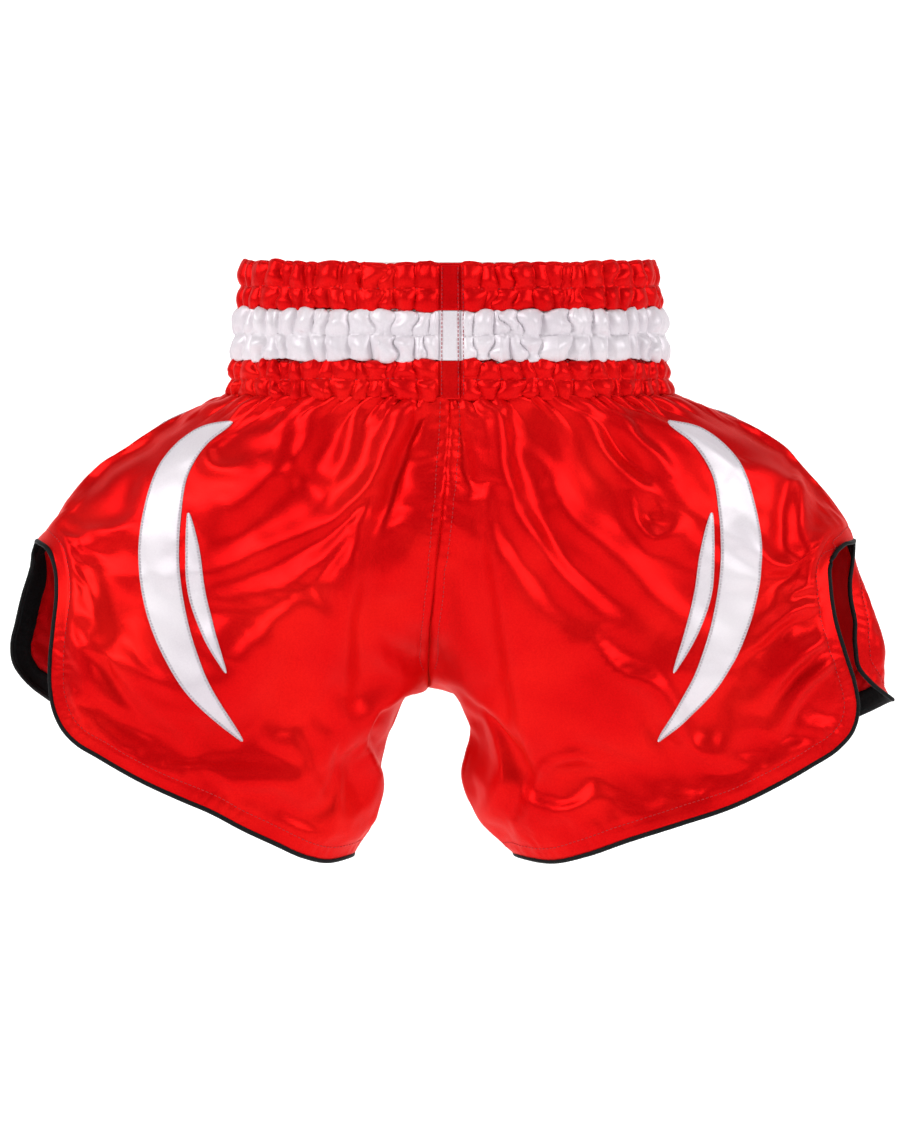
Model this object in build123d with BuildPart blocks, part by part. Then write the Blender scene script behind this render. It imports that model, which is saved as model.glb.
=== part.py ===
from build123d import *
from math import acos, degrees
import os

# Boxing shorts of the Muay Thai cut, in millimetres.
#
# The shorts stand as if they were worn. The origin is the centre of the waist opening, level
# with the band's top edge; +Z is up, -Y is the front, and the wearer's left leg is at +X.
# Everything is symmetric about x = 0, so each left piece is made and its mirror image written.

# Waistband: an oval tube that widens a little downwards, with two elastic channels per colour.
BAND_TOP_X, BAND_TOP_Y = 139.0, 76.0  # half width and half depth at the top edge
BAND_LOW_X, BAND_LOW_Y = 149.0, 80.0  # and at the lower edge
BAND_STRIPS = {"waistband_top": 31.5, "waistband_white": 35.5, "waistband_lower": 26.5}
CHANNELS_PER_STRIP = 2
BAND_HEIGHT = sum(BAND_STRIPS.values())
JOIN_WIDTH = 13.0  # the flat join of the band at centre front
ELASTIC_MARGIN = 1.6  # between an elastic's edge and its channel's stitching
LABEL_WIDTH, LABEL_TOP, LABEL_BOTTOM = 36.0, -30.0, -66.0

# Layers, as distances outward from the cloth's middle surface.
GAP = 0.3  # clearance between neighbouring pieces
CASING = (0.0, 2.2)
ELASTIC = (-1.9, -GAP)
LINING = (-3.0, -2.2)
LABEL = (-3.9, -3.3)
BAND_THREAD = (2.5, 3.1)
JOIN = (2.5, 3.5)
PANEL = (-0.8, 0.8)
FACING = (-2.1, -1.1)
BINDING = (-2.1, 1.7)
APPLIQUE = (1.1, 1.8)
THREAD = (1.1, 1.6)

# Body panels.
WAIST_X = BAND_LOW_X  # half width where the panels meet the band
HIP_X, HIP_Z = 281.0, -190.0  # half width at the top of the side vents
HEM_X, FLARE_Z = 303.0, -264.0  # half width from the middle of the vents down
SHOULDER_POWER = 1.45  # how square the hip's outline is: 2 would be an ellipse
SPLIT_Z = -150.0  # the legs begin to part here
CROTCH_Z = -291.0
PANEL_TOP = -BAND_HEIGHT - GAP
CLOTH_BOTTOM = -415.0
BINDING_WIDTH = 2.5
FACING_WIDTH = 14.0
STITCH_INSET, STITCH_WIDTH = 10.0, 0.9  # the topstitching along the leg opening
SEAM_INSET, SEAM_STITCH_END = 4.0, -262.0  # the topstitching beside the centre seams
REACH = 130.0  # further from y = 0 than any cloth
EDGE_STEPS = 30  # stretches in the moved edge of a leg opening

# Levels: height, depth in front, depth behind, and the inseam's distance from x = 0.
LEVELS = [
    (PANEL_TOP, 80, 80, 0),
    (-100, 81, 82, 0),
    (-112, 83, 86, 0),
    (-130, 86, 92, 0),
    (-155, 88, 97, 0),
    (-185, 89, 100, 0),
    (-215, 87, 98, 0),
    (-245, 83, 93, 0),
    (-270, 79, 87, 0),
    (-284, 77, 84, 0),
    (CROTCH_Z, 76, 82, 0),
    (-299, 75, 80, 14),
    (-312, 74, 78, 23),
    (-340, 71, 74, 28),
    (-375, 68, 70, 35),
    (CLOTH_BOTTOM, 65, 66, 55),
]

# The leg opening: down the vent's edge, round its lower corner, and along the hem.
FRONT_OPENING = [
    (282, -187), (268, -193), (259, -210), (262, -243), (270, -275), (269, -306),
    (246, -332), (200, -357), (150, -379), (104, -398), (82, -405), (60, -408),
]  # fmt: skip
BACK_OPENING = [
    (288, -187), (285, -202), (290, -228), (297, -252), (299, -276), (288, -300),
    (262, -320), (200, -354), (150, -376), (104, -395), (82, -402), (60, -405),
]  # fmt: skip
OPENINGS = {"front": FRONT_OPENING, "back": BACK_OPENING}
FACES = {"front": -1, "back": 1}  # the side of y = 0 that each face lies on

# Appliques: crescents between two arcs, as upper tip, outer middle, inner middle, lower tip.
APPLIQUES = {
    ("front", "long"): ((150, -110), (215, -210), (186, -212), (146, -322)),
    ("front", "short"): ((172, -160), (178, -216), (166, -218), (160, -274)),
    ("back", "long"): ((176, -112), (238, -205), (210, -207), (168, -318)),
}

os.makedirs("parts", exist_ok=True)


def write(piece, name):
    """Writes one finished piece."""
    piece.part.label = name
    export_step(piece.part, f"parts/{name}.step")


def write_pair(piece, name):
    """Writes the wearer's left piece and its mirror image, the right one."""
    write(piece, f"{name}_left")
    with BuildPart() as right:
        mirror(piece.part, about=Plane.YZ)
    write(right, f"{name}_right")


def oval(z, outward):
    """The waistband's oval at one height, moved outward from its middle surface."""
    share = -z / BAND_HEIGHT
    half_x = BAND_TOP_X + (BAND_LOW_X - BAND_TOP_X) * share + outward
    half_y = BAND_TOP_Y + (BAND_LOW_Y - BAND_TOP_Y) * share + outward
    with BuildSketch(Plane.XY.offset(z)) as section:
        Ellipse(half_x, half_y)
    return section.sketch


def side_x(z):
    """Half width of the shorts at one height: a rounded shoulder, then a slight flare."""
    if z > HIP_Z:
        drop = (z - HIP_Z) / (PANEL_TOP - HIP_Z)
        rise = (1 - drop**SHOULDER_POWER) ** (1 / SHOULDER_POWER)
        return WAIST_X + (HIP_X - WAIST_X) * rise
    flare = min(1, (z - HIP_Z) / (FLARE_Z - HIP_Z))
    return HIP_X + (HEM_X - HIP_X) * flare


def centre_x(z, inseam):
    """Centre of a leg's oval: it leaves x = 0 at SPLIT_Z and is mid-leg from the crotch down."""
    if z <= CROTCH_Z:
        return (side_x(z) + inseam) / 2
    share = min(1, max(0, (z - SPLIT_Z) / (CROTCH_Z - SPLIT_Z)))
    return side_x(z) / 2 * share * share * (3 - 2 * share)


def cloth(face, layer):
    """Sections of the wearer's left half of the cloth, from the centre line to the side."""
    sections = []
    for z, front_depth, back_depth, inseam in LEVELS:
        depth = front_depth if face == "front" else back_depth
        middle = centre_x(z, inseam)
        reach = side_x(z) - middle
        turn = 180 - degrees(acos(min(1, (middle - inseam) / reach)))
        with BuildSketch(Plane.XY.offset(z)) as section:
            with BuildLine():
                edges = [
                    EllipticalCenterArc(
                        (middle, 0), reach + off, depth + off, 0, arc_size=FACES[face] * turn
                    )
                    for off in layer
                ]
                Line(edges[0] @ 0, edges[1] @ 0)
                Line(edges[0] @ 1, edges[1] @ 1)
            make_face()
        sections.append(section.sketch)
    return sections


def opening_edge(face, outward):
    """Points along the leg opening's edge, moved square to it by this distance."""
    with BuildLine() as edge:
        curve = Spline(*OPENINGS[face])
    points = []
    for step in range(EDGE_STEPS + 1):
        place, along = curve @ (step / EDGE_STEPS), curve % (step / EDGE_STEPS)
        points.append((place.X - along.Y * outward, place.Y + along.X * outward))
    return points


def opening_area(face, outward=0.0):
    """Everything above the leg opening's edge, which can be moved outward or inward.

    Like the window and the crescents, it is drawn flat, with the height z as its y.
    """
    points = opening_edge(face, outward)
    with BuildSketch() as area:
        with BuildLine():
            Spline(*points)
            Polyline(
                points[-1], (-60, points[-1][1]), (-60, 60), (400, 60), (400, points[0][1]), points[0]
            )
        make_face()
    return area.sketch


def cloth_window():
    """The area that the left half of the cloth may fill."""
    with BuildSketch() as window:
        with Locations((GAP / 2, PANEL_TOP)):
            Rectangle(320, 330, align=(Align.MIN, Align.MAX))
    return window.sketch


def slab(face, *areas, less=None):
    """The space in front of, or behind, what lies in every one of these areas."""
    with BuildSketch(Plane.XZ.offset(-FACES[face] * GAP / 2)) as profile:
        add(areas[0])
        for area in areas[1:]:
            add(area, mode=Mode.INTERSECT)
        if less:
            add(less, mode=Mode.SUBTRACT)
    with BuildPart() as block:
        extrude(profile.sketch, amount=-FACES[face] * REACH)
    return block.part


# Waistband casing strips, and the flat join in each.
strip_top = 0.0
channel_lines = [0.0]
for strip_name, strip_height in BAND_STRIPS.items():
    strip_bottom = strip_top - strip_height
    low = strip_bottom + GAP / 2
    high = strip_top - GAP / 2
    with BuildPart() as casing:
        loft([oval(high, CASING[1]), oval(low, CASING[1])])
        loft([oval(high, CASING[0]), oval(low, CASING[0])], mode=Mode.SUBTRACT)
    write(casing, strip_name)

    with BuildPart() as join:
        loft([oval(high, JOIN[1]), oval(low, JOIN[1])])
        loft([oval(high, JOIN[0]), oval(low, JOIN[0])], mode=Mode.SUBTRACT)
        with Locations((0, -REACH / 2, (low + high) / 2)):
            Box(JOIN_WIDTH, REACH, strip_height, mode=Mode.INTERSECT)
    write(join, strip_name.replace("waistband", "join"))

    for channel in range(CHANNELS_PER_STRIP):
        channel_lines.append(strip_top - strip_height * (channel + 1) / CHANNELS_PER_STRIP)
    strip_top = strip_bottom

# Elastics, one in each channel.
for number, (top, bottom) in enumerate(zip(channel_lines, channel_lines[1:]), start=1):
    high, low = top - ELASTIC_MARGIN, bottom + ELASTIC_MARGIN
    with BuildPart() as elastic:
        loft([oval(high, ELASTIC[1]), oval(low, ELASTIC[1])])
        loft([oval(high, ELASTIC[0]), oval(low, ELASTIC[0])], mode=Mode.SUBTRACT)
    write(elastic, f"elastic_{number}")

# Lining: the inside ply of the band, in one piece from top to bottom.
with BuildPart() as lining:
    loft([oval(-GAP, LINING[1]), oval(-BAND_HEIGHT, LINING[1])])
    loft([oval(-GAP, LINING[0]), oval(-BAND_HEIGHT, LINING[0])], mode=Mode.SUBTRACT)
write(lining, "waistband_lining")

# Blank label inside the back of the band.
with BuildPart() as label:
    loft([oval(LABEL_TOP, LABEL[1]), oval(LABEL_BOTTOM, LABEL[1])])
    loft([oval(LABEL_TOP, LABEL[0]), oval(LABEL_BOTTOM, LABEL[0])], mode=Mode.SUBTRACT)
    with Locations((0, REACH / 2, (LABEL_TOP + LABEL_BOTTOM) / 2)):
        Box(LABEL_WIDTH, REACH, LABEL_TOP - LABEL_BOTTOM, mode=Mode.INTERSECT)
write(label, "inside_label")

# Channel stitching: a row of thread round the band between channels, stopping at the join.
with BuildPart() as band_thread:
    for line in channel_lines[1:-1]:
        high, low = line + STITCH_WIDTH / 2, line - STITCH_WIDTH / 2
        loft([oval(high, BAND_THREAD[1]), oval(low, BAND_THREAD[1])])
        loft([oval(high, BAND_THREAD[0]), oval(low, BAND_THREAD[0])], mode=Mode.SUBTRACT)
    with Locations((0, -REACH / 2, -BAND_HEIGHT / 2)):
        Box(JOIN_WIDTH + 2 * GAP, REACH, BAND_HEIGHT, mode=Mode.SUBTRACT)
write(band_thread, "waistband_stitching")

# Panels, with the black binding, the facing and the topstitching of each leg opening.
window = cloth_window()
for face in FACES:
    opening = opening_area(face)
    whole = slab(face, opening, window)
    binding_edge = opening_area(face, GAP + BINDING_WIDTH)
    binding_band = slab(face, binding_edge, window, less=opening_area(face, GAP))
    facing_band = slab(face, opening, window, less=opening_area(face, -FACING_WIDTH))
    stitch_edge = opening_area(face, -STITCH_INSET)
    stitch_inner_edge = opening_area(face, -STITCH_INSET - STITCH_WIDTH)
    stitch_band = slab(face, stitch_edge, window, less=stitch_inner_edge)
    with BuildSketch() as beside_seam:
        with Locations((SEAM_INSET, PANEL_TOP)):
            Rectangle(STITCH_WIDTH, PANEL_TOP - SEAM_STITCH_END, align=(Align.MIN, Align.MAX))
    seam_band = slab(face, beside_seam.sketch)

    with BuildPart() as panel:
        loft(cloth(face, PANEL), ruled=True)
        add(whole, mode=Mode.INTERSECT)
    write_pair(panel, f"{face}_panel")

    with BuildPart() as binding:
        loft(cloth(face, BINDING), ruled=True)
        add(binding_band, mode=Mode.INTERSECT)
    write_pair(binding, f"binding_{face}")

    with BuildPart() as facing:
        loft(cloth(face, FACING), ruled=True)
        add(facing_band, mode=Mode.INTERSECT)
    write_pair(facing, f"facing_{face}")

    with BuildPart() as hem_thread:
        loft(cloth(face, THREAD), ruled=True)
        add(stitch_band, mode=Mode.INTERSECT)
    write_pair(hem_thread, f"hem_stitch_{face}")

    with BuildPart() as seam_thread:
        loft(cloth(face, THREAD), ruled=True)
        add(seam_band, mode=Mode.INTERSECT)
        mirror(about=Plane.YZ)
    write(seam_thread, f"seam_stitch_{face}")

# Appliques.
for (face, blade), (upper, outside, inside, lower) in APPLIQUES.items():
    with BuildSketch() as crescent:
        with BuildLine():
            ThreePointArc(upper, outside, lower)
            ThreePointArc(upper, inside, lower)
        make_face()
    with BuildPart() as applique:
        loft(cloth(face, APPLIQUE), ruled=True)
        add(slab(face, crescent.sketch), mode=Mode.INTERSECT)
    write_pair(applique, f"applique_{face}_{blade}")
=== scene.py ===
import math

import bmesh
import bpy
import numpy as np
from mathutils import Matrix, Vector
from mathutils.bvhtree import BVHTree


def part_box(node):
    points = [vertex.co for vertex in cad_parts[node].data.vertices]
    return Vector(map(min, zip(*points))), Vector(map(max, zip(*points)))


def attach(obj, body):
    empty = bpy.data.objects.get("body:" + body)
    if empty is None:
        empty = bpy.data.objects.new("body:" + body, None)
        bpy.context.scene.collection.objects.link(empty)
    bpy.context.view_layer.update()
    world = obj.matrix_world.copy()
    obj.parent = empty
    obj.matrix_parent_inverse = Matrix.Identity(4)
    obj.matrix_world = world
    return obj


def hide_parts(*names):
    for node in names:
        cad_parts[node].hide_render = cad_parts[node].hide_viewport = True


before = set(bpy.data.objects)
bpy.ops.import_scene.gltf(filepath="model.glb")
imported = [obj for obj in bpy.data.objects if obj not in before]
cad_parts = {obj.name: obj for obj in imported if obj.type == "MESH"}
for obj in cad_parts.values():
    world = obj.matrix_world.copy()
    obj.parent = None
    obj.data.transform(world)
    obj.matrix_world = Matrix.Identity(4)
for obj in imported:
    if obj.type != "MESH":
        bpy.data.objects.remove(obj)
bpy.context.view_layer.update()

# Boxing shorts in satin. Lengths below are in millimetres, in the frame of the CAD model:
# the origin is the centre of the waist opening, -Y is the front, +X the wearer's left.
MM = 0.001
band_low, band_high = (np.array(corner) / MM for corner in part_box("waistband_lining"))

FRONT, BACK = -1, 1  # the side of y = 0 that a face lies on
LEFT, RIGHT = 1, -1  # the wearer's sides, as the sign of x
SIDE_NAMES = {LEFT: "left", RIGHT: "right"}
FACE_NAMES = {FRONT: "front", BACK: "back"}

BAND_HEIGHT = band_high[2] - band_low[2]
BAND_TOP_HALF = np.array([139.0, 76.0])  # half width and half depth of the band's oval
BAND_LOW_HALF = np.array([149.0, 80.0])
PANEL_TOP = -92.0  # the panels start under the band's last row of puffs
CROTCH_Z = -291.0
SPLIT_Z = -150.0
JOIN_HALF = 6.5

# Heights of the band's edges and its rows of stitching, and each strip's first and last one.
CHANNEL_EDGES = [0.0, -16.2, -31.5, -49.0, -67.0, -79.8, -93.5]
STRIPS = {"waistband_top": (0, 2), "waistband_white": (2, 4), "waistband_lower": (4, 6)}

# Depth of the cloth in front and behind, by height.
DEPTH_Z = [-94, -112, -130, -155, -185, -215, -245, -270, -291, -312, -340, -375, -415]
DEPTHS = {
    FRONT: [80, 83, 86, 88, 89, 87, 83, 79, 76, 74, 71, 68, 65],
    BACK: [80, 86, 92, 97, 100, 98, 93, 87, 82, 78, 74, 70, 66],
}

# Outline of the cloth at each side, as (distance from x = 0, height), from the band down.
SIDE_LINES = {
    RIGHT: [
        (150, -91), (162, -95), (175, -100), (191, -107), (208, -117), (224, -128),
        (240, -138), (253, -151), (265, -167), (273, -180), (283, -190), (288, -210),
        (294, -228), (299, -248), (302, -266), (303, -290), (303, -415),
    ],
    LEFT: [
        (149, -91), (166, -95), (182, -100), (200, -108), (215, -116), (232, -128),
        (242, -140), (253, -152), (265, -167), (274, -182), (277, -191), (280, -203),
        (288, -227), (297, -250), (301, -266), (303, -290), (303, -415),
    ],
}  # fmt: skip

# Inner outline below the crotch; the centre seam leans a little to the wearer's right.
CROTCH_X = -15.0
INSEAMS = {
    RIGHT: [
        (16, -291), (27, -293), (33, -303), (40, -316), (45, -331), (49, -347),
        (50, -362), (53, -381), (60, -395), (66, -405), (74, -415),
    ],
    LEFT: [
        (-15, -291), (1, -295), (9, -300), (13, -308), (13, -319), (9, -335), (7, -350),
        (12, -366), (20, -380), (34, -396), (46, -407), (54, -415),
    ],
}  # fmt: skip

# Leg openings: the vent's edge from its top down to the panel's rounded corner, then the hem
# from there to the inseam. A distance past the side line counts on, round to the other face.
VENTS = {
    (FRONT, RIGHT): [
        (282, -190), (274, -194), (268, -206), (266, -224), (268, -248), (270, -270),
        (270, -288), (267, -304), (261, -316),
    ],
    (FRONT, LEFT): [
        (277, -190), (269, -192), (262, -197), (257, -207), (257, -219), (260, -242),
        (267, -266), (274, -288), (276, -303), (272, -318),
    ],
    (BACK, RIGHT): [
        (283, -190), (286, -199), (288, -211), (293, -227), (298, -248), (301, -262),
        (300, -274), (293, -286),
    ],
    (BACK, LEFT): [
        (277, -190), (284, -203), (297, -220), (312, -243), (323, -262), (325, -275), (317, -287),
    ],
}  # fmt: skip
HEMS = {
    (FRONT, RIGHT): [
        (261, -316), (252, -325), (238, -333), (207, -350), (183, -361), (160, -371),
        (140, -382), (118, -393), (98, -403), (84, -407), (66, -405),
    ],
    (FRONT, LEFT): [
        (272, -318), (262, -329), (244, -340), (220, -353), (190, -367), (154, -379),
        (118, -391), (92, -401), (70, -407), (43, -405),
    ],
    (BACK, RIGHT): [
        (293, -286), (281, -298), (264, -311), (240, -327), (200, -349), (150, -373),
        (112, -391), (90, -400), (66, -405),
    ],
    (BACK, LEFT): [
        (317, -287), (306, -297), (295, -305), (277, -315), (240, -333), (200, -352),
        (150, -375), (112, -391), (84, -401), (43, -405),
    ],
}  # fmt: skip
VENT_TOP = -190.0
WRAP_DEPTH = 0.34  # how deep the cloth that wraps round the side lies

# Folds: points (x, z), height, half width and lean. A fold is steeper on the left of its run
# by its lean, which is the +x side where it runs down.
FOLDS = {
    RIGHT: [
        ([(-30, -100), (-44, -135), (-58, -175), (-70, -225), (-75, -280), (-77, -330),
          (-84, -392)], 9.0, 17, 0.5),
        ([(-18, -100), (-30, -125), (-38, -150), (-44, -175)], -4.5, 6, 0.0),
        ([(-88, -106), (-104, -127), (-128, -148), (-172, -178)], 5.0, 13, 0.2),
        ([(-50, -148), (-80, -172), (-114, -187), (-155, -204), (-194, -208)], 4.2, 9, 0.35),
        ([(-70, -182), (-90, -200), (-116, -216), (-146, -223), (-172, -222)], 3.6, 9, 0.4),
        ([(-88, -228), (-104, -262), (-124, -302), (-150, -348)], -5.0, 17, 0.0),
        ([(-152, -112), (-166, -122), (-163, -134), (-146, -138), (-134, -132)], 2.6, 6, 0.2),
        ([(-17, -288), (-40, -293), (-56, -302), (-61, -320), (-56, -340), (-53, -356),
          (-58, -378), (-70, -396)], 6.5, 8, 0.45),
        ([(-222, -240), (-229, -268), (-220, -300), (-206, -326)], -3.4, 12, 0.0),
        ([(-250, -196), (-240, -222), (-244, -262), (-250, -300)], 3.0, 11, 0.2),
        ([(-262, -175), (-244, -180), (-226, -176), (-208, -164)], 3.0, 9, 0.2),
        ([(-104, -110), (-108, -128), (-100, -146), (-84, -160)], -3.0, 8, 0.0),
        ([(-62, -108), (-70, -130), (-84, -147)], 2.6, 7, 0.2),
        ([(-216, -140), (-226, -158), (-222, -176)], -2.4, 10, 0.0),
        ([(-128, -232), (-150, -240), (-158, -254), (-150, -266)], 2.2, 9, 0.2),
        ([(-108, -312), (-104, -335), (-96, -356), (-104, -376)], 2.6, 10, 0.2),
        ([(-20, -290), (-48, -262), (-60, -235)], 2.6, 9, 0.2),
        ([(-24, -184), (-30, -206), (-28, -228)], 2.2, 12, 0.0),
        ([(-200, -268), (-180, -300), (-172, -332)], 2.6, 13, 0.1),
    ],
    LEFT: [
        ([(32, -104), (38, -150), (55, -183), (80, -210), (108, -232), (140, -250)],
         6.5, 13, -0.2),
        ([(70, -152), (86, -176), (104, -191), (128, -213), (156, -246)], 4.6, 10, -0.2),
        ([(60, -168), (78, -196), (98, -214), (124, -236)], -3.6, 7, 0.0),
        ([(20, -108), (24, -160), (38, -220), (48, -276), (58, -327), (58, -372)], 6.5, 15, -0.5),
        ([(6, -104), (8, -130), (14, -160)], -4.0, 6, 0.0),
        ([(98, -248), (112, -268), (138, -281), (152, -305), (165, -327), (182, -330),
          (190, -306), (196, -284)], 4.4, 9, 0.1),
        ([(252, -233), (236, -235), (220, -243), (200, -262)], 4.2, 6, 0.3),
        ([(258, -254), (240, -264), (226, -277), (210, -304)], 4.6, 7, 0.3),
        ([(261, -270), (246, -281), (234, -294), (220, -322)], 3.8, 6, 0.3),
        ([(250, -222), (236, -222), (222, -226)], 3.2, 5, 0.3),
        ([(240, -140), (238, -170), (240, -192), (246, -216)], 4.2, 7, -0.3),
        ([(230, -150), (228, -176), (232, -206)], -3.6, 8, 0.0),
        ([(196, -168), (206, -182), (212, -200), (204, -216)], 3.0, 10, 0.2),
        ([(92, -106), (104, -126), (118, -140), (140, -156)], 3.8, 7, 0.2),
        ([(116, -104), (128, -118), (143, -130), (152, -142)], 3.4, 6, 0.2),
        ([(106, -110), (122, -130), (138, -146)], -3.0, 5, 0.0),
        ([(122, -156), (128, -174), (138, -184), (150, -180), (156, -166)], 3.4, 6, 0.2),
        ([(136, -160), (139, -170), (144, -168)], -3.0, 6, 0.0),
        ([(60, -350), (74, -332), (90, -330), (104, -342)], 3.4, 8, 0.2),
        ([(76, -372), (92, -366), (104, -352)], 3.0, 8, 0.1),
        ([(131, -101), (150, -110), (170, -120), (196, -138)], 4.6, 8, 0.5),
        ([(206, -132), (232, -146), (252, -166)], 3.0, 9, 0.3),
        ([(14, -306), (20, -330), (16, -352)], -3.4, 8, 0.0),
        ([(126, -292), (140, -312), (150, -340), (160, -362)], -3.4, 10, 0.0),
        ([(8, -298), (26, -316), (34, -350), (28, -384)], 3.2, 8, 0.2),
        ([(52, -124), (66, -138), (74, -160)], 2.6, 8, 0.2),
    ],
}  # fmt: skip

# The back is plainer: soft folds falling from the band and from the seat.
BACK_FOLDS = [
    ([(24, -102), (44, -160), (66, -230), (78, -310), (84, -388)], 6.0, 16, -0.3),
    ([(10, -104), (14, -150), (22, -190)], -3.6, 7, 0.0),
    ([(70, -106), (104, -150), (150, -190), (196, -214)], 4.6, 13, 0.2),
    ([(104, -104), (140, -138), (184, -158), (230, -170)], 3.6, 10, 0.2),
    ([(18, -284), (60, -262), (110, -256), (160, -272)], 4.2, 12, 0.2),
    ([(20, -294), (60, -300), (104, -330), (130, -368)], -3.6, 14, 0.0),
    ([(252, -214), (226, -232), (196, -262), (180, -300)], 3.6, 12, 0.2),
    ([(262, -262), (236, -284), (214, -318)], 3.2, 9, 0.2),
    ([(50, -106), (60, -130), (84, -152)], 2.8, 7, 0.1),
    ([(150, -104), (176, -122), (206, -140)], 2.8, 8, 0.1),
    ([(100, -200), (130, -226), (150, -262)], -3.0, 13, 0.0),
    ([(16, -292), (34, -330), (40, -372)], 3.0, 10, 0.1),
]

# Appliques: middle line (distance from x = 0, height) and full width at its middle.
APPLIQUES = {
    "applique_front_long": (
        FRONT, [(147, -109), (168, -119), (186, -140), (194, -170), (196, -204),
                (190, -240), (174, -279), (140, -324)], 27),
    "applique_front_short": (
        FRONT, [(176, -170), (173, -196), (170, -224), (162, -250), (150, -277)], 11),
    "applique_back_long": (
        BACK, [(168, -99), (196, -113), (216, -140), (222, -175), (222, -210),
               (214, -246), (196, -283), (166, -322)], 25),
}  # fmt: skip


# ---------------------------------------------------------------- numbers and curves

SPLINE_STEPS = 24  # steps of a smooth line from each of its points to the next


def smooth_step(value):
    value = np.clip(value, 0.0, 1.0)
    return value * value * (3 - 2 * value)


def bell(distance, width):
    """1 at no distance, and fading to almost 0 at twice the width."""
    return np.exp(-((distance / width) ** 2))


def unit(ways):
    """The same directions, each with a length of 1."""
    return ways / np.maximum(np.linalg.norm(ways, axis=-1, keepdims=True), 1e-9)


def square_to(along, ways):
    """The unit directions nearest to ways that are square to the unit directions along."""
    return unit(ways - along * (ways * along).sum(-1, keepdims=True))


def run_length(line):
    """How far along a line each of its points is."""
    return np.concatenate([[0], np.cumsum(np.linalg.norm(np.diff(line, axis=0), axis=1))])


def along_line(at, length, values):
    """Values known at each length along a line, read off at other lengths."""
    return np.stack([np.interp(at, length, values[:, k]) for k in range(values.shape[1])], axis=-1)


def spline(points, count):
    """A smooth line of count points through these points, evenly spaced."""
    p = np.array(points, float)
    gaps = np.linalg.norm(np.diff(p, axis=0), axis=1)
    slopes = np.diff(p, axis=0) / gaps[:, None]
    tangents = np.vstack([slopes[:1], slopes[:-1] * gaps[1:, None] + slopes[1:] * gaps[:-1, None],
                          slopes[-1:]])
    tangents[1:-1] /= (gaps[1:] + gaps[:-1])[:, None]
    t = np.linspace(0, 1, SPLINE_STEPS, endpoint=False)[:, None]
    line = [
        (2 * t**3 - 3 * t**2 + 1) * p[k] + (t**3 - 2 * t**2 + t) * gaps[k] * tangents[k]
        + (3 * t**2 - 2 * t**3) * p[k + 1] + (t**3 - t**2) * gaps[k] * tangents[k + 1]
        for k in range(len(gaps))
    ]
    line = np.vstack([*line, p[-1:]])
    length = run_length(line)
    return along_line(np.linspace(0, length[-1], count), length, line)


def by_height(points, z):
    """The smooth line's first coordinate at each height."""
    line = spline(points, 400)
    order = np.argsort(line[:, 1])
    return np.interp(z, line[order, 1], line[order, 0])


def waves(points, length, seed, count=9):
    """Smooth noise between about -1 and 1 at points, with features about this long."""
    draw = np.random.default_rng(seed)
    total = np.zeros(points.shape[:-1])
    for _ in range(count):
        way = draw.normal(size=3)
        way *= 2 * math.pi / (length * draw.uniform(0.7, 1.6)) / np.linalg.norm(way)
        total += np.sin(points @ way + draw.uniform(0, 2 * math.pi))
    return total / math.sqrt(count) * 0.8


# ---------------------------------------------------------------- grids of points

def normals_of(grid, outward):
    """Unit normals of a grid of points, turned to the side that outward gives at its middle."""
    n = unit(np.cross(np.gradient(grid, axis=1), np.gradient(grid, axis=0)))
    middle = n[grid.shape[0] // 2, grid.shape[1] // 3]
    return n if middle @ np.array(outward, float) > 0 else -n


def refined(grid, factor, axis):
    """The grid with factor times as many cells along one axis, on smooth curves."""
    grid = np.moveaxis(grid, axis, 0)
    n = grid.shape[0]
    at = np.linspace(0, n - 1, (n - 1) * factor + 1)
    k = np.minimum(at.astype(int), n - 2)
    t = (at - k).reshape(-1, *[1] * (grid.ndim - 1))
    b, c = grid[k], grid[k + 1]
    a = np.where((k > 0).reshape(t.shape), grid[k - 1], 2 * b - c)
    d = np.where((k < n - 2).reshape(t.shape), grid[np.minimum(k + 2, n - 1)], 2 * c - b)
    out = 0.5 * (2 * b + (c - a) * t + (2 * a - 5 * b + 4 * c - d) * t**2
                 + (3 * b - a - 3 * c + d) * t**3)
    return np.moveaxis(out, 0, axis)


def relaxed(grid, passes):
    """The grid after its inner points have moved half way to their neighbours' mean each pass."""
    grid = grid.copy()
    for _ in range(passes):
        around = (grid[:-2, 1:-1] + grid[2:, 1:-1] + grid[1:-1, :-2] + grid[1:-1, 2:]) / 4
        grid[1:-1, 1:-1] = (grid[1:-1, 1:-1] + around) / 2
    return grid


def arc_length(grid, axis, backwards=False):
    """Distance down the columns (0) or along the rows (1), from the first or the last point."""
    step = np.linalg.norm(np.diff(grid, axis=axis), axis=2)
    zero = np.zeros_like(np.take(step, [0], axis=axis))
    along = np.concatenate([zero, np.cumsum(step, axis=axis)], axis=axis)
    return np.take(along, [-1], axis=axis) - along if backwards else along


def edge_distance(points, line):
    """How far each point lies from a line, and how far along the line its nearest point is."""
    best = np.full(points.shape[:-1], np.inf)
    where = np.zeros(points.shape[:-1])
    along = 0.0
    for first, last in zip(line[:-1], line[1:]):
        d = last - first
        length = np.linalg.norm(d)
        t = np.clip((points - first) @ d / max(length**2, 1e-9), 0, 1)
        far = np.linalg.norm(points - first - t[..., None] * d, axis=-1)
        nearer = far < best
        best = np.where(nearer, far, best)
        where = np.where(nearer, along + t * length, where)
        along += length
    return best, where


def grid_faces(rows, columns, closed=False):
    """The numbers of a grid's points, and its faces; a closed grid joins up along its rows."""
    index = np.arange(rows * columns).reshape(rows, columns)
    here, there = (index, np.roll(index, -1, axis=1)) if closed else (index[:, :-1], index[:, 1:])
    faces = np.stack([here[:-1], there[:-1], there[1:], here[1:]], axis=-1)
    return index, faces.reshape(-1, 4)


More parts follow.
